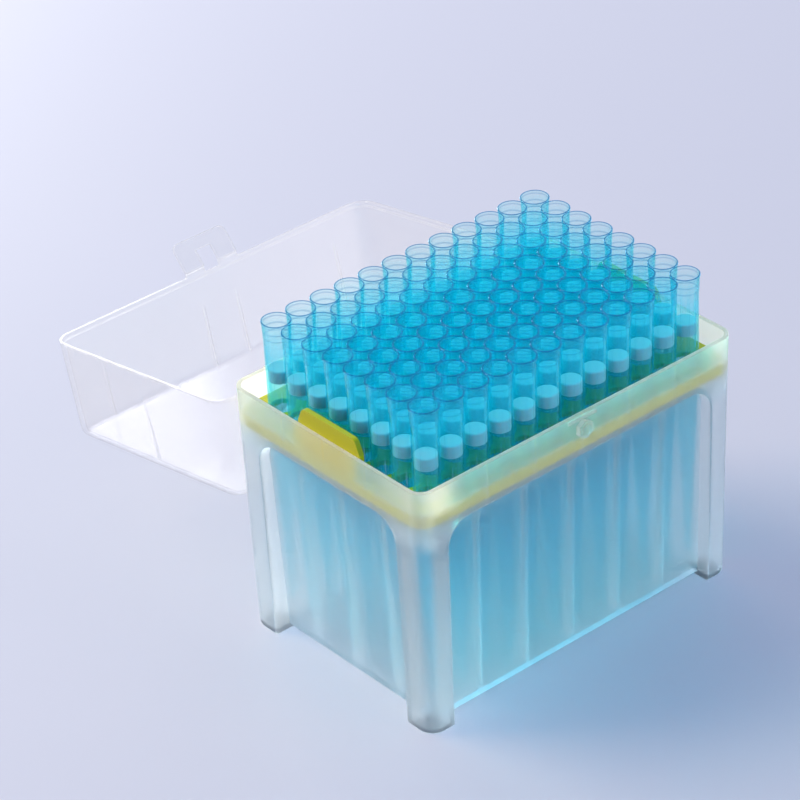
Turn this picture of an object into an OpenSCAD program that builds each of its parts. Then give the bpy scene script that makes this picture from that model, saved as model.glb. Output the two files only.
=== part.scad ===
// Hinged rack box holding 96 filter pipette tips, lid open.
// Frame: origin under the middle of the box at its feet, +X along the long side,
// -Y towards the latch (front), +Y towards the hinge (back), +Z up.

/* [Tip grid] */
// Number of tip columns along the box
columns = 12; // [10:1:12]
// Number of tip rows across the box
rows = 8; // [6:1:8]
// Spacing of the tips both ways
pitch = 9; // [8.9:0.1:10]

/* [Box] */
// Gap between the outermost tip axes and the outside of the box, along the length
margin_l = 11; // [10.6:0.1:14]
// The same gap across the width
margin_w = 9.6; // [9.5:0.1:12]
// Height of the box from its feet to its rim
rim_h = 83; // [76:1:110]
// Wall thickness of the box
wall = 1.3; // [1:0.1:1.5]
// Outside radius of the upright corners
corner_r = 5; // [4:0.5:7]
// How much each wall leans in from rim to feet
draft = 1.1; // [0.8:0.1:1.8]
// Rounding under the feet
foot_r = 1.2; // [0.8:0.1:1.6]
// Depth of the plain collar above the recessed panels
collar_h = 13.5; // [13:0.5:16]
// Depth of the long sides' recessed panels behind the corner legs, at their top
recess_w = 3.9; // [3:0.1:4.2]
// How much deeper those panels are at the feet
panel_draft_w = 0.9; // [0.4:0.1:1.2]
// Depth of the short sides' recessed panels at their top
recess_l = 3.4; // [2.8:0.1:4.2]
// How much deeper those panels are at the feet
panel_draft_l = 2.3; // [0.4:0.1:2.6]
// Width of a corner leg on the long sides
leg_l = 9.8; // [9:0.1:12]
// Width of a corner leg on the short sides
leg_w = 11.3; // [9:0.1:12]
// Radius of the panels' top corners
arch_r = 8; // [5:0.5:10]
// How far the panels stop above the feet
foot_h = 1.5; // [0.8:0.1:3]

/* [Stiffening ribs inside the box] */
// Thickness of a rib
rib_t = 0.9; // [0.6:0.1:1]
// Depth of a rib at the collar
rib_top = 1.3; // [1:0.1:2]
// Depth of a rib at the floor
rib_bottom = 4; // [2.5:0.5:5]

/* [Tip plate] */
// Plate surface below the rim of the box
plate_drop = 7.9; // [6.5:0.1:8.2]
// Plate thickness
plate_t = 1.5; // [1.2:0.1:2.5]
// Gap between a tip and its hole in the plate
hole_gap = 0.11; // [0.05:0.01:0.16]
// Gap between the plate and the collar all round
plate_gap = 0.25; // [0.15:0.05:0.4]
// Width of a lifting tab at its root
tab_w = 26.6; // [20:0.2:34]
// Height of a lifting tab above the rim of the box
tab_rise = 4.1; // [3:0.1:8]
// Thickness of a lifting tab
tab_t = 1.6; // [1.2:0.1:2]
// Outer face of a lifting tab, measured in from the outside of the box
tab_inset = 2.4; // [2.2:0.1:3.2]

/* [Tips] */
// Height of the tips above the rim of the box
tip_rise = 20.75; // [16:0.25:24]
// Length of a tip
tip_len = 95; // [88:1:97]
// Radius of the lip at the mouth
lip_r = 4.44; // [4.38:0.01:4.46]
// Radius of the round seat that grips a pipette nozzle
socket_r = 3.74; // [3.66:0.01:3.76]
// Radius of a tip where it passes through the plate
tip_r = 3.62; // [3:0.01:3.64]
// Number of upright ribs on a tip
tip_ribs = 12; // [8:1:14]
// How far those ribs stand on the plate beyond the edge of the hole
rib_land = 0.32; // [0.2:0.01:0.35]
// Depth of the filter's top below the mouth
filter_depth = 15.4; // [13:0.1:17]
// Length of the filter plug
filter_len = 4; // [3:0.1:6]
// Wall of a tip around its filter, measured from the tip's radius at the plate
filter_wall = 0.21; // [0.18:0.01:0.3]
// Gap between a filter and the tip around it
filter_gap = 0.02; // [0.01:0.01:0.05]

/* [Lid] */
// Height of the lid
lid_h = 32; // [30:0.5:40]
// Thickness of the lid's skirt, which hangs outside the rim of the box
skirt_t = 0.9; // [0.8:0.1:1.2]
// Gap between the skirt and the rim of the box
skirt_gap = 0.3; // [0.2:0.05:0.5]
// How far the skirt reaches below the rim of the box
skirt_drop = 1.2; // [1:0.1:1.4]
// Wall thickness of the lid above the skirt
lid_wall = 1.5; // [1.4:0.1:1.8]
// How much each wall of the lid leans in from rim to top
lid_draft = 0.7; // [0.4:0.1:1]
// Rounding of the lid's top edges
lid_edge_r = 2.6; // [2:0.1:4]
// Angle that the lid opens through
open_angle = 189.8; // [100:0.2:190]

/* [Hinge] */
// Hinge axis behind the back wall
hinge_out = 3; // [2.9:0.1:4]
// Hinge axis below the rim of the box
hinge_drop = 4.6; // [4.4:0.1:6]
// Radius of a hinge pin
pin_r = 1.3; // [1:0.05:1.4]
// Running gap around a pin
pin_gap = 0.06; // [0.04:0.01:0.1]
// Distance of each hinge from the middle of the box
hinge_x = 35; // [25:1:40]
// Width of a lid clip
clip_w = 14; // [10:1:18]
// Gap between a clip and the ears at its sides
clip_gap = 0.3; // [0.2:0.05:0.5]

/* [Latch] */
// Width of the latch tab
latch_w = 20; // [16:1:26]
// Length of the latch tab
latch_len = 9.9; // [9.4:0.1:11]
// Thickness of the latch tab
latch_t = 1; // [0.8:0.1:1.2]
// How far the latch tab is bent outwards at rest
latch_angle = 33; // [20:1:60]
// How far the lid's front edge reaches down to the latch tab
latch_drop = 1; // [0.5:0.1:1.5]
// Middle of the catch below the rim of the box
catch_drop = 4.5; // [4.4:0.1:4.8]
// Width of the six-sided catch across its upright flats
catch_w = 5; // [4.6:0.1:5.4]
// How far the catch stands out of the box
catch_out = 2; // [1.5:0.1:2.4]
// Gap beyond the catch's point in the tab's window, for the tab to swing over it
catch_gap = 0.75; // [0.7:0.05:0.9]
// Gap at each side of the catch in that window
catch_side_gap = 0.4; // [0.3:0.05:0.8]

/* [Hidden] */
$fn = 48;
eps = 0.01;
function two_digits(n) = n < 10 ? str("0", n) : str(n);

// Outside half sizes of the box at its rim
half_l = (columns - 1) * pitch / 2 + margin_l;
half_w = (rows - 1) * pitch / 2 + margin_w;
function tip_x(c) = (c - (columns + 1) / 2) * pitch;
function tip_y(r) = (r - (rows + 1) / 2) * pitch;

panel_top = rim_h - collar_h;       // top of the recessed panels
shelf_z = panel_top + wall;         // ledge inside the collar that carries the plate
floor_z = foot_h + wall;            // upper face of the floor
plate_z = rim_h - plate_drop;       // upper face of the plate
rib_bend_z = 45;                    // below this height the box's ribs grow deeper
tip_top = rim_h + tip_rise;
seat_depth = tip_top - plate_z;     // from a tip's mouth to the plate it stands on
filter_bottom = filter_depth + filter_len;
hole_r = tip_r + hole_gap;
tip_rib_r = hole_r + rib_land;
filter_bore = tip_r - filter_wall;  // bore of a tip around its filter
filter_r = filter_bore - filter_gap;

// How far the walls have leaned in at height z
function lean(z) = draft * (rim_h - z) / rim_h;
// How far in the panels' outer faces are at height z, from the outside of the rim
function panel_l(z) = lean(z) + recess_l + panel_draft_l * (panel_top - z) / panel_top;
function panel_w(z) = lean(z) + recess_w + panel_draft_w * (panel_top - z) / panel_top;

hinge_y = half_w + hinge_out;
hinge_z = rim_h - hinge_drop;
skirt_z = rim_h - skirt_drop;       // lower edge of the closed lid
lid_half_l = half_l + skirt_gap + skirt_t;
lid_half_w = half_w + skirt_gap + skirt_t;
step_gap = 0.15;                    // the closed lid's step stops this far above the rim
lid_r = corner_r + skirt_gap + skirt_t;
latch_gap = 0.3;                    // gap at the latch tab's flexing edge
latch_y = -half_w - skirt_gap - latch_t / 2;
latch_z = skirt_z - latch_drop - latch_gap - latch_t / 2;
catch_h = catch_w / cos(30);        // height of the catch between its points
catch_z = rim_h - catch_drop;
window_w = catch_w + 2 * catch_side_gap; // window in the latch tab that takes the catch

// Rectangle of half sizes hl and hw with rounded corners
module rounded_rect(hl, hw, r) {
    square([2 * hl, 2 * (hw - r)], center = true);
    square([2 * (hl - r), 2 * hw], center = true);
    for (sx = [-1, 1], sy = [-1, 1])
        translate([sx * (hl - r), sy * (hw - r)]) circle(r);
}

// Upright block with rounded corners, hulled through slices
// [height, inset of ends, inset of sides, corner radius]
module block(slices) {
    hull()
        for (s = slices)
            translate([0, 0, s[0]])
                linear_extrude(eps)
                    rounded_rect(half_l - s[1], half_w - s[2], s[3], $fn = 40);
}

// Block inside the panels, at a distance behind their outer faces
module panel_block(behind, z0, z1, r) {
    block([for (z = [z0, z1]) [z, panel_l(z) + behind, panel_w(z) + behind, r]]);
}

// Panel openings between the corner legs, cut right through the block both ways.
// grow widens the legs' spacing and lifts the arch, for the inside of the wall.
module arches(grow) {
    for (side = [[half_l - leg_l, 0], [half_w - leg_w, 90]]) {
        hw = side[0] + grow;
        r = arch_r + grow;
        top = panel_top + grow;
        rotate([90, 0, side[1]])
            linear_extrude(3 * half_l, center = true)
                union() {
                    translate([-hw, -1]) square([2 * hw, top - r + 1]);
                    translate([-hw + r, -1]) square([2 * (hw - r), top + 1]);
                    for (s = [-1, 1]) translate([s * (hw - r), top - r]) circle(r);
                }
    }
}

module box_outside() {
    difference() {
        block(concat(
            [for (a = [0 : 30 : 90]) let (in = foot_r * (1 - sin(a)), z = foot_r * (1 - cos(a)))
                [z, lean(z) + in, lean(z) + in, corner_r - in]],
            [[rim_h - eps, 0, 0, corner_r]]));
        difference() {
            arches(0);
            panel_block(0, foot_h, rim_h, 2);
        }
    }
}

module box_inside() {
    difference() {
        block([for (z = [wall, rim_h + 1]) [z, lean(z) + wall, lean(z) + wall, corner_r - wall]]);
        difference() {
            arches(wall);
            panel_block(wall, floor_z, rim_h + 1, 1);
        }
    }
}

// Ribs that stiffen the panels, standing between the tips
module box_ribs() {
    zs = [floor_z - wall / 2, rib_bend_z, shelf_z];
    for (s = [-1, 1]) {
        for (k = [-2 : 2])
            translate([2 * k * pitch, s * half_w, 0]) rotate([0, 0, s > 0 ? -90 : 90])
                rib(zs, [for (z = zs) panel_w(z)]);
        for (k = [-1 : 1])
            translate([s * half_l, 2 * k * pitch, 0]) rotate([0, 0, s > 0 ? 180 : 0])
                rib(zs, [for (z = zs) panel_l(z)]);
    }
}

// One rib on the XZ plane, rising through heights zs from panel faces at x = face, towards +X
module rib(zs, face) {
    rotate([90, 0, 0])
        linear_extrude(rib_t, center = true)
            polygon([
                [face[0] + wall / 2, zs[0]], [face[2] + wall / 2, zs[2]],
                [face[2] + wall + rib_top, zs[2]], [face[1] + wall + rib_top, zs[1]],
                [face[0] + wall + rib_bottom, zs[0]]]);
}

// Ears and pins at the back that carry the lid's clips
module hinge_ears() {
    ear_r = pin_r + 0.8;
    ear_t = 2.2;
    for (s = [-1, 1]) translate([s * hinge_x, hinge_y, hinge_z]) rotate([0, 90, 0]) {
        for (e = [-1, 1])
            translate([0, 0, e * (clip_w / 2 + clip_gap + ear_t / 2)]) {
                cylinder(r = ear_r, h = ear_t, center = true);
                translate([0, -(hinge_out + wall / 2) / 2, 0])
                    cube([2 * ear_r, hinge_out + wall / 2, ear_t], center = true);
            }
        cylinder(r = pin_r, h = clip_w + 2 * clip_gap + ear_t, center = true);
    }
}

module catch() {
    translate([0, -half_w + wall / 2, catch_z]) rotate([90, 30, 0]) {
        cylinder(r = catch_h / 2, h = catch_out + wall / 2 - 0.4, $fn = 6);
        cylinder(r = catch_h / 2 - 0.9, h = catch_out + wall / 2, $fn = 6);
    }
}

module base() {
    slot_l = 11;
    slot_h = 1.1;
    color("#e6ebee") difference() {
        union() {
            difference() {
                box_outside();
                box_inside();
            }
            box_ribs();
            hinge_ears();
            catch();
        }
        translate([0, -half_w, rim_h - 0.75 - slot_h / 2])
            cube([slot_l, 4 * wall, slot_h], center = true);
    }
}

module tip_plate() {
    out_l = half_l - lean(plate_z) - wall - plate_gap;
    out_w = half_w - lean(plate_z) - wall - plate_gap;
    skirt = plate_z - shelf_z;
    // The skirt leans no more than the collar does, so it is cut back by the collar's lean below it
    back = lean(shelf_z) - lean(plate_z);
    plate_wall = 1.4;
    r = corner_r - wall - plate_gap;
    color("#f2e41c") {
        difference() {
            union() {
                translate([0, 0, shelf_z])
                    linear_extrude(skirt) rounded_rect(out_l - back, out_w - back, r);
                for (s = [-1, 1]) lifting_tab(s);
            }
            translate([0, 0, shelf_z - 1]) linear_extrude(skirt - plate_t + 1)
                rounded_rect(out_l - back - plate_wall, out_w - back - plate_wall, r - plate_wall + 1);
            for (c = [1 : columns], k = [1 : rows])
                translate([tip_x(c), tip_y(k), shelf_z - 1]) cylinder(r = hole_r, h = skirt + 2);
        }
        plate_ribs(skirt - plate_t - 1.2, out_l - back - plate_wall / 2, out_w - back - plate_wall / 2);
    }
}

// Thin webs under the plate between every second pair of tips
module plate_ribs(h, hl, hw) {
    z = plate_z - plate_t - h;
    web_t = 0.8;
    for (c = [2 : 2 : columns - 2])
        translate([tip_x(c) + pitch / 2 - web_t / 2, -hw, z]) cube([web_t, 2 * hw, h + eps]);
    for (k = [2 : 2 : rows - 2])
        translate([-hl, tip_y(k) + pitch / 2 - web_t / 2, z]) cube([2 * hl, web_t, h + eps]);
}

// Tab that stands up from the plate's end, for lifting plate and tips out together
module lifting_tab(s) {
    r = 2;
    root = plate_z - plate_t / 2;
    shoulder = rim_h - 0.5;
    taper = 1.3;
    translate([s * (half_l - tab_inset - tab_t / 2), 0, 0]) rotate([90, 0, 90])
        linear_extrude(tab_t, center = true) {
            translate([-tab_w / 2, root]) square([tab_w, shoulder - root]);
            hull() {
                translate([-tab_w / 2, shoulder - 1]) square([tab_w, 1]);
                for (e = [-1, 1])
                    translate([e * (tab_w / 2 - taper - r), rim_h + tab_rise - r]) circle(r);
            }
        }
}

// Outline of a tip: [radius, depth below the mouth], from lip to point
function tip_outline() = [
    [lip_r - 0.12, 0], [lip_r, 0.12], [lip_r, 0.8], [lip_r - 0.22, 1.1],
    [lip_r - 0.22, 3.1], [lip_r - 0.3, 3.2], [lip_r - 0.3, 5.2], [socket_r + 0.24, 5.5],
    [tip_r + 0.18, 9.2], [tip_r, seat_depth], [tip_r - 0.14, seat_depth + 7.6],
    [2.3, tip_len - 33], [1.45, tip_len - 16], [0.75, tip_len]];

// Bore of a tip: [radius, depth], from point to mouth
function tip_bore() = [
    [0.4, tip_len], [1.05, tip_len - 16], [1.85, tip_len - 33], [tip_r - 0.59, seat_depth + 7.6],
    [tip_r - 0.44, filter_bottom], [filter_bore, filter_bottom], [filter_bore, filter_depth - 1],
    [tip_r + 0.01, 8.5], [socket_r, 4.9], [socket_r, 2.9], [lip_r - 0.42, 0.8], [lip_r - 0.36, 0]];

module tip() {
    mirror([0, 0, 1]) difference() {
        union() {
            rotate_extrude() polygon(concat([for (p = tip_outline()) p], [[0, tip_len], [0, 0]]));
            for (i = [0 : tip_ribs - 1]) rotate([0, 0, i * 360 / tip_ribs])
                translate([filter_bore - 0.33, -0.25, 5])
                    cube([tip_rib_r - filter_bore + 0.33, 0.5, seat_depth - 5]);
        }
        rotate_extrude()
            polygon(concat([[0, tip_len + 1], [0.4, tip_len + 1]], tip_bore(), [[lip_r - 0.36, -1], [0, -1]]));
    }
}

module tips(c) {
    color("#1fb4dc", 0.6) for (k = [1 : rows]) translate([tip_x(c), tip_y(k), tip_top]) tip();
}

module filters(c) {
    round_r = 0.5;
    color("#f4f8fb") for (k = [1 : rows])
        translate([tip_x(c), tip_y(k), tip_top - filter_bottom])
            rotate_extrude() union() {
                square([filter_r, filter_len - round_r]);
                square([filter_r - round_r, filter_len]);
                translate([filter_r - round_r, filter_len - round_r]) circle(round_r);
            }
}

// Turns what is drawn in the closed position to where it lies with the lid open
module opened() {
    translate([0, hinge_y, hinge_z]) rotate([-open_angle, 0, 0]) translate([0, -hinge_y, -hinge_z])
        children();
}

// Closed lid's solid form between two heights, inset everywhere, with rounded top edges
module lid_form(inset, top_inset, z0) {
    r = max(lid_edge_r - inset, 0.6);
    top = skirt_z + lid_h - top_inset;
    hull() {
        translate([0, 0, z0])
            linear_extrude(eps) rounded_rect(lid_half_l - inset, lid_half_w - inset, lid_r - inset, $fn = 32);
        for (sx = [-1, 1], sy = [-1, 1])
            translate([sx * (lid_half_l - lid_draft - lid_r), sy * (lid_half_w - lid_draft - lid_r), top - r])
                rotate_extrude($fn = 32) union() {
                    translate([lid_r - inset - r, 0]) intersection() {
                        circle(r, $fn = 24);
                        square(r + 1);
                    }
                    square([lid_r - inset - r, r]);
                }
    }
}

// Gussets inside the lid, deepest at the top panel
module lid_ribs() {
    deep = 1.4;
    from_end = 14.9;                // outer gussets of the long sides, from the lid's ends
    from_middle = 6.6;
    top = skirt_z + lid_h - lid_wall / 2;
    low = skirt_z + 5.6;
    inner_l = lid_half_l - lid_wall / 2;
    inner_w = lid_half_w - lid_wall / 2;
    for (s = [-1, 1]) {
        for (x = [lid_half_l - from_end, from_middle], m = [-1, 1])
            translate([m * x, s * inner_w, 0]) rotate([0, 0, s > 0 ? -90 : 90]) gusset(deep, low, top);
        translate([s * inner_l, 0, 0]) rotate([0, 0, s > 0 ? 180 : 0]) gusset(deep, low, top);
    }
}

module gusset(deep, low, top) {
    rotate([90, 0, 0]) linear_extrude(0.8, center = true)
        polygon([[lid_draft, low], [lid_draft + lid_wall / 2 + deep, top], [lid_draft, top]]);
}

// Clips that snap over the hinge pins, with their mouth on the side away from the lid
module clips() {
    r = pin_r + pin_gap;
    out_r = r + 1;
    for (s = [-1, 1]) translate([s * hinge_x, hinge_y, hinge_z]) rotate([90, 0, 90])
        linear_extrude(clip_w, center = true)
            difference() {
                union() {
                    circle(out_r);
                    polygon([
                        [-hinge_out + skirt_gap + skirt_t / 2, hinge_drop - skirt_drop],
                        [-out_r + 0.4, 1], [out_r - 0.4, 1],
                        [-hinge_out + skirt_gap + skirt_t + 0.9, hinge_drop + 1.6],
                        [-hinge_out + skirt_gap + skirt_t / 2, hinge_drop + 1.6]]);
                }
                circle(r);
                // Mouth, narrower than the pin, that the clip was pushed on through
                rotate(-60) translate([0, -0.85 * r]) square([2 * out_r, 1.7 * r]);
            }
}

module closed_lid() {
    difference() {
        union() {
            difference() {
                lid_form(0, 0, skirt_z);
                lid_form(lid_wall, lid_wall * 0.8, skirt_z - 1);
                // Wider space inside the skirt, which leaves a step that rests on the rim of the box
                translate([0, 0, skirt_z - 1]) linear_extrude(1 + skirt_drop + step_gap)
                    rounded_rect(half_l + skirt_gap, half_w + skirt_gap, corner_r + skirt_gap);
            }
            lid_ribs();
            clips();
            translate([-latch_w / 2, -lid_half_w, skirt_z - latch_drop]) cube([latch_w, skirt_t, latch_drop + 1]);
        }
        // Notch in the front edge that clears the catch
        translate([-window_w / 2, -lid_half_w - 1, skirt_z - latch_drop - 1]) cube([window_w, 4, latch_drop + 1.6]);
    }
}

module lid() {
    color("#eef3f8", 0.5) opened() closed_lid();
}

// Latch tab on the lid's flexing front edge, hanging straight down
module straight_tab() {
    w = latch_w / 2;
    l = latch_len - latch_t / 2;
    r = 2;
    window_end = latch_z - catch_z + catch_h / 2 + catch_gap;
    difference() {
        union() {
            rotate([0, 90, 0]) cylinder(r = latch_t / 2, h = latch_w, center = true);
            rotate([90, 0, 0]) linear_extrude(latch_t, center = true) {
                translate([-w, -l + r]) square([latch_w, l - r]);
                translate([-w + r, -l]) square([latch_w - 2 * r, l]);
                for (s = [-1, 1]) translate([s * (w - r), -l + r]) circle(r);
            }
        }
        translate([-window_w / 2, -latch_t, -window_end]) cube([window_w, 2 * latch_t, window_end + latch_t]);
    }
}

module latch_tab() {
    color("#eef3f8", 0.5) opened()
        translate([0, latch_y, latch_z]) rotate([-latch_angle, 0, 0]) straight_tab();
}

base();
tip_plate();
lid();
latch_tab();
for (c = [1 : columns]) {
    tips(c);
    filters(c);
}
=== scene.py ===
import math

import bpy
from mathutils import Matrix, Vector


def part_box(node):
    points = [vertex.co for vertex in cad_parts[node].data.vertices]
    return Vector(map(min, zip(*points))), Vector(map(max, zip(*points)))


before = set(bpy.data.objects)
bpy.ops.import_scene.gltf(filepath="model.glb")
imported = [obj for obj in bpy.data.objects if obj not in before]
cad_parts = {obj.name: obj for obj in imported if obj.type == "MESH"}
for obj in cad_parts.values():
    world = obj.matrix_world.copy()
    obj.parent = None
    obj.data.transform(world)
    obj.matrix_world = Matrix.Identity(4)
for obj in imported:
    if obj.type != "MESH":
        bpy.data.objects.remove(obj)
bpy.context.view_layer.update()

bl_info = {
    "name": "Pipette tip box looks",
    "version": (1, 0, 0),
    "blender": (4, 5, 0),
    "location": "3D View > Sidebar > Tip Box",
    "description": "Finishes for a hinged polypropylene box of filter pipette tips, "
                   "with its stage and camera",
    "category": "Material",
}

MM = 0.001

# Height from a tip's mouth in mm, and the share of the full tint or haze there
LIP_STEPS = (
    (-5.5, 0.0), (-5.4, 0.35), (-5.2, 0.35), (-5.1, 0.0),
    (-3.35, 0.0), (-3.25, 0.35), (-3.05, 0.35), (-2.95, 0.0),
    (-1.2, 0.0), (-1.1, 0.3), (-0.95, 0.3), (-0.85, 0.0),
    (-0.2, 0.0), (-0.1, 1.0), (0.0, 1.0),
)
TIP_HAZE = (
    (-95, 0.45), (-60, 0.75), (-44, 1.0), (-20, 0.8), (-10, 0.7), (-5.5, 0.2), (0, 0.05),
)

# Heights above the floor in mm where the box's wall changes its haze or its tone
PANEL_LOW, PANEL_MIDDLE, PANEL_TOP, COLLAR_BOTTOM = 30, 45, 62, 67
# Painted yellow light on the collar fades in between these heights
COLLAR_PAINTED_PLATE_LIGHT = ((73, 0.0), (78, 1.0))

# How far a Bevel node's normal agrees with the face's own: on flat faces and on edges
FLAT_FACE, MOULDED_EDGE = 0.99, 0.8
# Half widths in mm of the line that a rib shows, where it is full and where it ends
RIB_FULL, RIB_END = 0.3, 0.55
# More haze on those lines, and half their number along and across the box
RIB_HAZE = 0.3
LONG_RIBS, END_RIBS = 2.5, 1.5

# Side of the square floor in metres
FLOOR_SIZE = 8


# ---------------------------------------------------------------- helpers

def linear(hex_colour):
    """Linear RGBA of an sRGB hex colour such as 'f2dc10'."""
    parts = [int(hex_colour[i:i + 2], 16) / 255 for i in (0, 2, 4)]
    return [c / 12.92 if c <= 0.04045 else ((c + 0.055) / 1.055) ** 2.4 for c in parts] + [1.0]


def add(tree, kind, links=(), attrs=(), **inputs):
    """Adds a shader node: links are (output socket, input), attrs are (attribute, value).

    Other words set an input by its name, with _ for a space, or by its number as i0, i1 and so on.
    """
    node = tree.nodes.new("ShaderNode" + kind)
    for name, value in attrs:
        setattr(node, name, value)
    for name, value in inputs.items():
        key = name.replace("_", " ")
        by_number = key[0] == "i" and key[1:].isdigit()
        node.inputs[int(key[1:]) if by_number else key].default_value = value
    for source, target in links:
        tree.links.new(source, node.inputs[target])
    return node


def material(name):
    """An empty node material and its tree."""
    mat = bpy.data.materials.new(name)
    mat.use_nodes = True
    mat.node_tree.nodes.clear()
    return mat, mat.node_tree


def give(mat, *nodes):
    """Puts a finish on CAD nodes by their names."""
    for name in nodes:
        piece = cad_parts[name]
        for slot in piece.material_slots:
            slot.material = mat


def nodes_called(start):
    """Names of the CAD nodes that begin with start."""
    return sorted(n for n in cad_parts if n.startswith(start))


def let_lamps_in(tree, shader, tone):
    """Mixes in a clear tone for rays towards lamps, so that what stands behind the wall is lit."""
    path = add(tree, "LightPath")
    clear = add(tree, "BsdfTransparent", Color=tone)
    return add(tree, "MixShader", [(path.outputs["Is Shadow Ray"], 0), (shader.outputs[0], 1),
                                   (clear.outputs[0], 2)])


def ramp(tree, height, stops):
    """A value that follows height, straight between stops of (height in mm, value) that climb."""
    low, high = stops[0][0], stops[-1][0]
    share = add(tree, "MapRange", [(height, "Value")], From_Min=low * MM, From_Max=high * MM)
    node = add(tree, "ValToRGB", [(share.outputs[0], "Fac")])
    points = node.color_ramp.elements
    while len(points) < len(stops):
        points.new(1.0)
    for point, (place, value) in zip(points, stops):
        point.position = (place - low) / (high - low)
        point.color = (value, value, value, 1.0)
    return node


def edge_share(tree, edge):
    """How far a Bevel node turns the normal: 1 on moulded edges and 0 on flat faces."""
    face = add(tree, "NewGeometry")
    same = add(tree, "VectorMath", [(edge.outputs[0], 0), (face.outputs["Normal"], 1)],
               [("operation", "DOT_PRODUCT")])
    return add(tree, "MapRange", [(same.outputs["Value"], "Value")],
               From_Min=FLAT_FACE, From_Max=MOULDED_EDGE)


def rib_share(tree, across, spacing, reach):
    """1 on the lines where ribs stand behind a wall: spacing apart, out to reach each way."""
    gap = add(tree, "Math", [(across, 0)], [("operation", "PINGPONG")], i1=spacing / 2)
    line = add(tree, "MapRange", [(gap.outputs[0], "Value")],
               From_Min=RIB_FULL * MM, From_Max=RIB_END * MM, To_Min=1.0, To_Max=0.0)
    side = add(tree, "Math", [(across, 0)], [("operation", "ABSOLUTE")])
    inside = add(tree, "Math", [(side.outputs[0], 0)], [("operation", "LESS_THAN")], i1=reach)
    return add(tree, "Math", [(line.outputs[0], 0), (inside.outputs[0], 1)],
               [("operation", "MULTIPLY")])


def milk(tree, through, links=(), **inputs):
    """A milky face that scatters light back and, for the share through, on behind it."""
    front, back = (add(tree, kind, links, **inputs) for kind in ("BsdfDiffuse", "BsdfTranslucent"))
    return add(tree, "MixShader", [(front.outputs[0], 1), (back.outputs[0], 2)], Fac=through)


def mirror_share(tree, facing, normal, glancing, fall=5.0):
    """How much a plastic face mirrors, from straight on to a glancing look."""
    power = add(tree, "Math", [(facing, 0)], [("operation", "POWER")], i1=fall)
    return add(tree, "Math", [(power.outputs[0], 0)], [("operation", "MULTIPLY_ADD")],
               i1=glancing, i2=normal)


# ---------------------------------------------------------------- properties

def colour(name, text, hex_value):
    """A colour that the user can change, from an sRGB hex value."""
    return bpy.props.FloatVectorProperty(
        name=name, description=text, subtype="COLOR", size=4, min=0.0, max=1.0,
        default=linear(hex_value))


def share(name, text, value):
    """A share from 0 to 1 that the user can change."""
    return bpy.props.FloatProperty(name=name, description=text, default=value, min=0.0, max=1.0,
                                   subtype="FACTOR")


def length(name, text, value):
    """A length in metres that the user can change."""
    return bpy.props.FloatProperty(name=name, description=text, default=value, min=0.0,
                                   unit="LENGTH", subtype="DISTANCE", precision=5)


class TipBoxHousing(bpy.types.PropertyGroup):
    tone: colour("Tone", "Colour of the frosted box", "fafbfc")
    haze: share("Haze", "Share of light that the frosted wall scatters", 0.1)
    collar_haze: share("Collar haze", "Share of light that the collar scatters", 0.5)
    # Painted light: the collar's milk is tinted yellow, standing in for the plate's light coming
    # through it
    collar: colour("Painted plate light on collar", "Colour of the collar above the plate", "fff9ea")
    # Painted highlight: more milky scatter along the moulded edges, standing in for the light that
    # rounded edges catch
    painted_edge_highlight: share("Painted edge highlight", "More light scattered along moulded edges", 0.35)
    passing: share("Passing", "Share of the scattered light that goes on behind the wall", 0.85)
    rib_spacing: length("Rib spacing", "Distance between the ribs inside the panels", 18 * MM)
    foot_haze: share("Foot haze", "Share of light that the walls scatter at the floor", 0.18)
    roughness: share("Roughness", "Blur of what is seen through the wall", 0.36)
    lamp_tone: colour("Lamp tone", "Colour of the light that lamps send through", "e2e7ee")
    depth: colour("Depth tone", "Colour that the plastic turns light passing through it", "eaf6fc")
    density: bpy.props.FloatProperty(name="Density", description="How fast it does so, each metre",
                                     default=180.0, min=0.0)
    grain: length("Grain", "Grain of the textured surface", 0.5 * MM)
    edge: length("Edge", "Rounding of its edges", 0.5 * MM)


class TipBoxLid(bpy.types.PropertyGroup):
    tone: colour("Tone", "Colour of the clear lid", "faf6f0")
    haze: share("Haze", "Share of light that the lid's wall scatters", 0.18)
    # Painted highlight: more milky scatter along the lid's moulded edges, standing in for the light
    # that they catch
    painted_edge_highlight: share("Painted edge highlight", "Share of light that its moulded edges scatter", 0.5)
    passing: share("Passing", "Share of the scattered light that goes on behind the wall", 0.5)
    roughness: share("Roughness", "Blur of its reflections", 0.15)
    through: colour("Through", "Colour that a face lets through", "fcfcfe")
    lamp_tone: colour("Lamp tone", "Colour of the light that lamps send through", "f9fafc")
    ripple: length("Ripple", "Width of the faint waves in its surface", 4 * MM)
    edge: length("Edge", "Rounding of its edges", 0.6 * MM)


class TipBoxPlate(bpy.types.PropertyGroup):
    tone: colour("Tone", "Colour of the plate", "bab402")
    roughness: share("Roughness", "Roughness of the moulded surface", 0.35)
    grain: length("Grain", "Grain of the moulded surface", 0.4 * MM)


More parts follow.
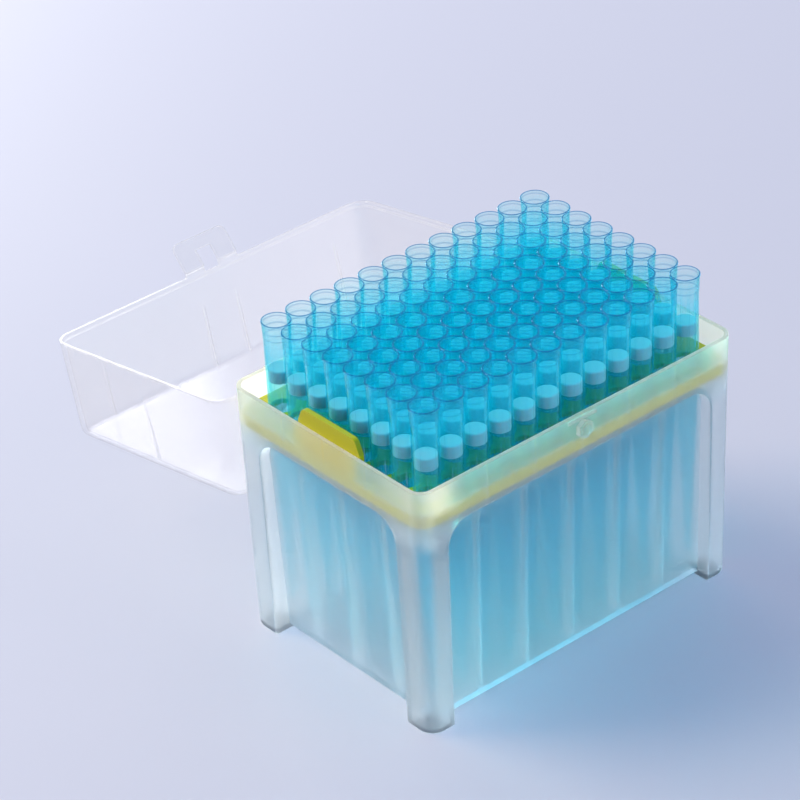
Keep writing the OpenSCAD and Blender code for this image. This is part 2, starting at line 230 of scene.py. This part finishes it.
class TipBoxTips(bpy.types.PropertyGroup):
    through: colour("Through", "Colour that a face lets through", "fcffff")
    # Partly painted shade: the darker rings at the mouth and lip steps also stand in for the dark
    # outlines refraction gives there
    step: colour("Step", "Colour that the mouth's edge and the lip's steps let through", "1c98d0")
    step_tint: share("Step tint", "Strength of that colour at the mouth's edge", 0.75)
    body: colour("Body", "Colour that the plastic scatters", "00cce6")
    haze: share("Haze", "Share of light that a face scatters low in the box", 0.2)
    passing: share("Passing", "Share of the scattered light that goes on behind the wall", 0.75)
    gloss: colour("Gloss", "Colour of its reflections", "dcf6ff")
    roughness: share("Roughness", "Blur of its reflections", 0.08)
    lamp_tone: colour("Lamp tone", "Colour of the light that lamps send through", "d2fdfe")
    depth: colour("Depth tone", "Colour that the plastic turns light passing through it", "5efcfd")
    density: bpy.props.FloatProperty(name="Density", description="How fast it does so, each metre",
                                     default=450.0, min=0.0)


class TipBoxFilters(bpy.types.PropertyGroup):
    # The plugs are chalky white; this tone's grey-lavender cast is painted shade and bluish light
    # from the tips around them
    tone: colour("Tone", "Colour of the filter plugs", "ccccd8")
    grain: length("Grain", "Size of the sintered beads", 0.3 * MM)


class TipBoxStage(bpy.types.PropertyGroup):
    floor: colour("Floor", "Colour of the floor", "c9cbd8")
    backdrop: colour("Backdrop", "Colour seen beyond the floor", "eff0f8")
    air: colour("Air", "Colour of the light all round", "b9c7ee")
    air_strength: bpy.props.FloatProperty(name="Air strength", description="Strength of that light",
                                          default=0.75, min=0.0)
    key_power: bpy.props.FloatProperty(name="Key lamp", description="Power of the large lamp behind",
                                       default=54.0, min=0.0, subtype="POWER", unit="POWER")
    low_power: bpy.props.FloatProperty(name="Low lamp", description="Power of the low lamp behind",
                                       default=8.5, min=0.0, subtype="POWER", unit="POWER")
    fill_power: bpy.props.FloatProperty(name="Fill lamp", description="Power of the lamp in front",
                                        default=4.0, min=0.0, subtype="POWER", unit="POWER")


# ---------------------------------------------------------------- finishes

class TIPBOX_OT_housing(bpy.types.Operator):
    """Finishes the frosted box"""
    bl_idname = "tipbox.housing"
    bl_label = "Frosted box"

    def execute(self, context):
        look = context.scene.tip_box_housing
        mat, t = material("Frosted polypropylene, moulded")
        # Natural polypropylene is milky, and its textured outside blurs what stands behind it
        place = add(t, "TexCoord")
        grain = add(t, "TexNoise", [(place.outputs["Object"], "Vector")],
                    Scale=1 / look.grain, Detail=1.0)
        edge = add(t, "Bevel", attrs=[("samples", 2)], Radius=look.edge)
        bump = add(t, "Bump", [(grain.outputs["Fac"], "Height"), (edge.outputs[0], "Normal")],
                   Strength=0.25, Distance=0.02 * MM)
        clouds = add(t, "TexNoise", [(place.outputs["Object"], "Vector")],
                     Scale=1 / (22 * MM), Detail=0.0)
        rough = add(t, "MapRange", [(clouds.outputs["Fac"], "Value")],
                    To_Min=look.roughness - 0.05, To_Max=look.roughness + 0.05)
        glass = add(t, "BsdfPrincipled",
                    [(rough.outputs[0], "Roughness"), (bump.outputs[0], "Normal")],
                    Base_Color=look.tone, IOR=1.4, Transmission_Weight=1.0)
        # The collar is thicker than the panels, which are milkiest where they meet the floor
        height, side = (add(t, "SeparateXYZ", [(place.outputs["Object"], 0)]) for _ in range(2))
        haze = ramp(t, height.outputs["Z"], [
            (0, look.foot_haze), (PANEL_LOW, look.haze + 0.03), (PANEL_MIDDLE, look.haze),
            (PANEL_TOP, look.haze), (COLLAR_BOTTOM, look.collar_haze)])
        # Ribs hold more plastic, which shows as pale lines, and the haze added along moulded edges
        # is a painted highlight for the light that rounded edges catch
        long_ribs = rib_share(t, side.outputs["X"], look.rib_spacing, LONG_RIBS * look.rib_spacing)
        end_ribs = rib_share(t, side.outputs["Y"], look.rib_spacing, END_RIBS * look.rib_spacing)
        for extra, amount in ((long_ribs, RIB_HAZE), (end_ribs, RIB_HAZE),
                              (edge_share(t, edge), look.painted_edge_highlight)):
            haze = add(t, "Math", [(extra.outputs[0], 0), (haze.outputs[0], 2)],
                       [("operation", "MULTIPLY_ADD")], i1=amount)
        # Above the plate the collar picks up its yellow: painted light, with the collar's milk
        # tinted as if lit by the yellow plate behind it
        painted_plate_light = ramp(t, height.outputs["Z"], COLLAR_PAINTED_PLATE_LIGHT)
        tone = add(t, "Mix", [(painted_plate_light.outputs[0], 0)], [("data_type", "RGBA")],
                   i6=look.tone, i7=look.collar)
        cloudy = milk(t, look.passing, [(tone.outputs[2], "Color"), (bump.outputs[0], "Normal")])
        body = add(t, "MixShader", [(haze.outputs[0], 0), (glass.outputs[0], 1),
                                    (cloudy.outputs[0], 2)])
        wall = let_lamps_in(t, body, look.lamp_tone)
        depth = add(t, "VolumeAbsorption", Color=look.depth, Density=look.density)
        add(t, "OutputMaterial", [(wall.outputs[0], "Surface"), (depth.outputs[0], "Volume")])
        give(mat, "base")
        return {"FINISHED"}


class TIPBOX_OT_lid(bpy.types.Operator):
    """Finishes the clear lid and its latch tab"""
    bl_idname = "tipbox.lid"
    bl_label = "Clear lid"

    def execute(self, context):
        look = context.scene.tip_box_lid
        mat, t = material("Clear polypropylene, moulded")
        # Thin polypropylene is almost clear, with a faint milkiness and soft waves in its gloss
        place = add(t, "TexCoord")
        waves = add(t, "TexNoise", [(place.outputs["Object"], "Vector")],
                    Scale=1 / look.ripple, Detail=1.0)
        edge = add(t, "Bevel", attrs=[("samples", 2)], Radius=look.edge)
        bump = add(t, "Bump", [(waves.outputs["Fac"], "Height"), (edge.outputs[0], "Normal")],
                   Strength=0.3, Distance=0.1 * MM)
        weight = add(t, "LayerWeight", [(bump.outputs[0], "Normal")], Blend=0.5)
        mirror = mirror_share(t, weight.outputs["Facing"], 0.04, 0.6)
        through = add(t, "BsdfTransparent", Color=look.through)
        cloudy = milk(t, look.passing, Color=look.tone)
        # Painted highlight: the lid's moulded edges get more milky scatter, standing in for the
        # light that they catch
        painted_rim_highlight = edge_share(t, edge)
        haze = add(t, "MapRange", [(painted_rim_highlight.outputs[0], "Value")],
                   To_Min=look.haze, To_Max=look.painted_edge_highlight)
        body = add(t, "MixShader", [(haze.outputs[0], 0), (through.outputs[0], 1),
                                    (cloudy.outputs[0], 2)])
        gloss = add(t, "BsdfAnisotropic", [(bump.outputs[0], "Normal")], Roughness=look.roughness)
        skin = add(t, "MixShader", [(mirror.outputs[0], 0), (body.outputs[0], 1),
                                    (gloss.outputs[0], 2)])
        wall = let_lamps_in(t, skin, look.lamp_tone)
        add(t, "OutputMaterial", [(wall.outputs[0], "Surface")])
        give(mat, "lid", "latch_tab")
        return {"FINISHED"}


class TIPBOX_OT_plate(bpy.types.Operator):
    """Finishes the yellow tip plate"""
    bl_idname = "tipbox.plate"
    bl_label = "Tip plate"

    def execute(self, context):
        look = context.scene.tip_box_plate
        mat, t = material("Yellow polypropylene, moulded")
        # Dyed polypropylene has a soft satin gloss, and light goes a little way into it
        place = add(t, "TexCoord")
        grain = add(t, "TexNoise", [(place.outputs["Object"], "Vector")],
                    Scale=1 / look.grain, Detail=3.0)
        bump = add(t, "Bump", [(grain.outputs["Fac"], "Height")], Strength=0.2, Distance=0.02 * MM)
        rough = add(t, "MapRange", [(grain.outputs["Fac"], "Value")],
                    To_Min=look.roughness - 0.06, To_Max=look.roughness + 0.06)
        body = add(t, "BsdfPrincipled",
                   [(rough.outputs[0], "Roughness"), (bump.outputs[0], "Normal")],
                   Base_Color=look.tone, IOR=1.49, Specular_IOR_Level=0.3, Subsurface_Weight=0.3,
                   Subsurface_Scale=1 * MM, Subsurface_Radius=(1.0, 0.8, 0.2))
        add(t, "OutputMaterial", [(body.outputs[0], "Surface")])
        give(mat, "tip_plate")
        return {"FINISHED"}


class TIPBOX_OT_tips(bpy.types.Operator):
    """Finishes the blue pipette tips"""
    bl_idname = "tipbox.tips"
    bl_label = "Pipette tips"

    def execute(self, context):
        look = context.scene.tip_box_tips
        mat, t = material("Blue-tinted clear polypropylene, moulded")
        # The thin walls are clear, and their tint grows with the way that light goes through them
        place = add(t, "TexCoord")
        height = add(t, "SeparateXYZ", [(place.outputs["Object"], 0)]).outputs["Z"]
        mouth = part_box("tips_column_01")[1][2] / MM
        # The cut edge of the mouth and the steps of the lip gather the tint, and these darker rings
        # are also painted shade that stands in for the dark outlines refraction gives there
        steps = ramp(t, height, [(mouth + z, v * look.step_tint) for z, v in LIP_STEPS])
        tint = add(t, "Mix", [(steps.outputs[0], 0)], [("data_type", "RGBA")],
                   i6=look.through, i7=look.step)
        clear = add(t, "BsdfTransparent", [(tint.outputs[2], "Color")])
        cloudy = milk(t, look.passing, Color=look.body)
        # The walls thicken towards the point, where they scatter more
        haze = ramp(t, height, [(mouth + z, v * look.haze) for z, v in TIP_HAZE])
        body = add(t, "MixShader", [(haze.outputs[0], 0), (clear.outputs[0], 1),
                                    (cloudy.outputs[0], 2)])
        weight = add(t, "LayerWeight", Blend=0.5)
        mirror = mirror_share(t, weight.outputs["Facing"], 0.012, 0.9, 4.0)
        gloss = add(t, "BsdfAnisotropic", Color=look.gloss, Roughness=look.roughness)
        skin = add(t, "MixShader", [(mirror.outputs[0], 0), (body.outputs[0], 1),
                                    (gloss.outputs[0], 2)])
        wall = let_lamps_in(t, skin, look.lamp_tone)
        depth = add(t, "VolumeAbsorption", Color=look.depth, Density=look.density)
        add(t, "OutputMaterial", [(wall.outputs[0], "Surface"), (depth.outputs[0], "Volume")])
        give(mat, *nodes_called("tips_column_"))
        return {"FINISHED"}


class TIPBOX_OT_filters(bpy.types.Operator):
    """Finishes the porous filter plugs"""
    bl_idname = "tipbox.filters"
    bl_label = "Filters"

    def execute(self, context):
        look = context.scene.tip_box_filters
        mat, t = material("Sintered polyethylene")
        # Beads fused together: a chalky white with a fine pitted surface; the grey-lavender of its
        # tone is painted shade and bluish light from the tips around it
        place = add(t, "TexCoord")
        beads = add(t, "TexVoronoi", [(place.outputs["Object"], "Vector")], Scale=1 / look.grain)
        bump = add(t, "Bump", [(beads.outputs["Distance"], "Height")], [("invert", True)],
                   Strength=0.6, Distance=0.08 * MM)
        # Painted shade: the tone darkens in the pits between the beads
        tone = add(t, "MapRange", [(beads.outputs["Distance"], "Value")], To_Min=1.0, To_Max=0.82)
        shade = add(t, "HueSaturation", [(tone.outputs[0], "Value")], Color=look.tone)
        body = add(t, "BsdfPrincipled",
                   [(shade.outputs[0], "Base Color"), (bump.outputs[0], "Normal")],
                   Roughness=0.85, IOR=1.51, Subsurface_Weight=0.4, Subsurface_Scale=0.8 * MM)
        add(t, "OutputMaterial", [(body.outputs[0], "Surface")])
        give(mat, *nodes_called("filters_column_"))
        return {"FINISHED"}


# ---------------------------------------------------------------- stage

def lamp(name, place, aim, size, power, tone):
    """A square area lamp at place, turned to aim."""
    data = bpy.data.lights.new(name, "AREA")
    data.size, data.energy, data.color = size, power, linear(tone)[:3]
    obj = bpy.data.objects.new(name, data)
    obj.location = place
    obj.rotation_euler = (Vector(aim) - Vector(place)).to_track_quat("-Z", "Y").to_euler()
    bpy.context.collection.objects.link(obj)


class TIPBOX_OT_stage(bpy.types.Operator):
    """Adds the floor, lamps and surrounding light"""
    bl_idname = "tipbox.stage"
    bl_label = "Stage"

    def execute(self, context):
        look = context.scene.tip_box_stage
        bpy.ops.mesh.primitive_plane_add(size=FLOOR_SIZE, location=(0, 0, 0))
        floor = context.object
        floor.name = "floor"
        mat, t = material("Matt acrylic sheet")
        sheen = add(t, "BsdfPrincipled", Base_Color=look.floor, Roughness=0.55, IOR=1.49)
        add(t, "OutputMaterial", [(sheen.outputs[0], "Surface")])
        floor.data.materials.append(mat)
        world = bpy.data.worlds.new("Soft studio")
        context.scene.world = world
        world.use_nodes = True
        t = world.node_tree
        t.nodes.clear()
        air = add(t, "Background", Color=look.air, Strength=look.air_strength)
        # What the camera, gloss and clear plastic see in place of that light
        seen = add(t, "Background", Color=look.backdrop, Strength=1.0)
        path = add(t, "LightPath")
        eyes = add(t, "Math",
                   [(path.outputs["Is Camera Ray"], 0), (path.outputs["Is Glossy Ray"], 1)],
                   [("operation", "MAXIMUM")])
        eyes = add(t, "Math", [(eyes.outputs[0], 0), (path.outputs["Is Transmission Ray"], 1)],
                   [("operation", "MAXIMUM")])
        both = add(t, "MixShader", [(eyes.outputs[0], 0), (air.outputs[0], 1),
                                    (seen.outputs[0], 2)])
        t.links.new(both.outputs[0], add(t, "OutputWorld").inputs["Surface"])
        lamp("key", (-1.1, 1.6, 1.75), (0, 0.03, 0.05), 1.5, look.key_power, "fff5dc")
        lamp("low", (0.35, 1.3, 0.26), (0, 0, 0.05), 0.6, look.low_power, "ffffff")
        lamp("fill", (0.5, -1.1, 0.3), (0, 0, 0.05), 0.6, look.fill_power, "ffffff")
        scene = context.scene
        scene.view_settings.view_transform = "Standard"
        scene.cycles.max_bounces = 7
        scene.cycles.transmission_bounces = 6
        scene.cycles.diffuse_bounces = 2
        scene.cycles.glossy_bounces = 2
        scene.cycles.transparent_max_bounces = 48
        # Three lamps and an even sky need no search for the lamp that matters most
        scene.cycles.use_light_tree = False
        world.cycles.sampling_method = "NONE"
        return {"FINISHED"}


class TIPBOX_OT_camera(bpy.types.Operator):
    """Adds the camera, looking down on the latch corner"""
    bl_idname = "tipbox.camera"
    bl_label = "Camera"

    def execute(self, context):
        # Azimuth, elevation and roll in degrees; distance and offsets across the view in mm
        turn, rise, roll = (math.radians(a) for a in (-39.3056, 32.3776, -3.0062))
        distance, across, down = 1019.894 * MM, -23.0726 * MM, -29.3509 * MM
        aim = Vector((0, 0, 0.10375))
        back = Vector((math.sin(turn) * math.cos(rise), -math.cos(turn) * math.cos(rise),
                       math.sin(rise)))
        right = Vector((math.cos(turn), math.sin(turn), 0))
        up = back.cross(right)
        x = right * math.cos(roll) + up * math.sin(roll)
        y = up * math.cos(roll) - right * math.sin(roll)
        data = bpy.data.cameras.new("camera")
        data.sensor_width = 36
        data.lens = 162.24
        data.clip_end = 50
        cam = bpy.data.objects.new("camera", data)
        context.collection.objects.link(cam)
        cam.matrix_world = (Matrix.Translation(aim + back * distance + x * across + y * down)
                            @ Matrix((x, y, back)).transposed().to_4x4())
        context.scene.camera = cam
        return {"FINISHED"}


# ---------------------------------------------------------------- add-on

class TIPBOX_PT_panel(bpy.types.Panel):
    """Finishes of the tip box"""
    bl_label = "Tip Box"
    bl_idname = "TIPBOX_PT_panel"
    bl_space_type = "VIEW_3D"
    bl_region_type = "UI"
    bl_category = "Tip Box"

    def draw(self, context):
        for group in GROUPS:
            look = getattr(context.scene, group)
            box = self.layout.box()
            for name in look.__annotations__:
                box.prop(look, name)
        for operator in OPERATORS:
            self.layout.operator(operator.bl_idname)


GROUPS = {
    "tip_box_housing": TipBoxHousing,
    "tip_box_lid": TipBoxLid,
    "tip_box_plate": TipBoxPlate,
    "tip_box_tips": TipBoxTips,
    "tip_box_filters": TipBoxFilters,
    "tip_box_stage": TipBoxStage,
}
OPERATORS = (
    TIPBOX_OT_camera,
    TIPBOX_OT_housing,
    TIPBOX_OT_plate,
    TIPBOX_OT_tips,
    TIPBOX_OT_filters,
    TIPBOX_OT_lid,
    TIPBOX_OT_stage,
)


def register():
    for cls in (*GROUPS.values(), *OPERATORS, TIPBOX_PT_panel):
        bpy.utils.register_class(cls)
    for name, cls in GROUPS.items():
        setattr(bpy.types.Scene, name, bpy.props.PointerProperty(type=cls))


def unregister():
    for name in GROUPS:
        delattr(bpy.types.Scene, name)
    for cls in (TIPBOX_PT_panel, *reversed(OPERATORS), *reversed(GROUPS.values())):
        bpy.utils.unregister_class(cls)


def main():
    for leftover in ("Cube", "Light", "Camera"):
        if leftover in bpy.data.objects:
            bpy.data.objects.remove(bpy.data.objects[leftover])
    register()
    for operator in OPERATORS:
        space, name = operator.bl_idname.split(".")
        getattr(getattr(bpy.ops, space), name)()


if __name__ == "__main__":
    main()
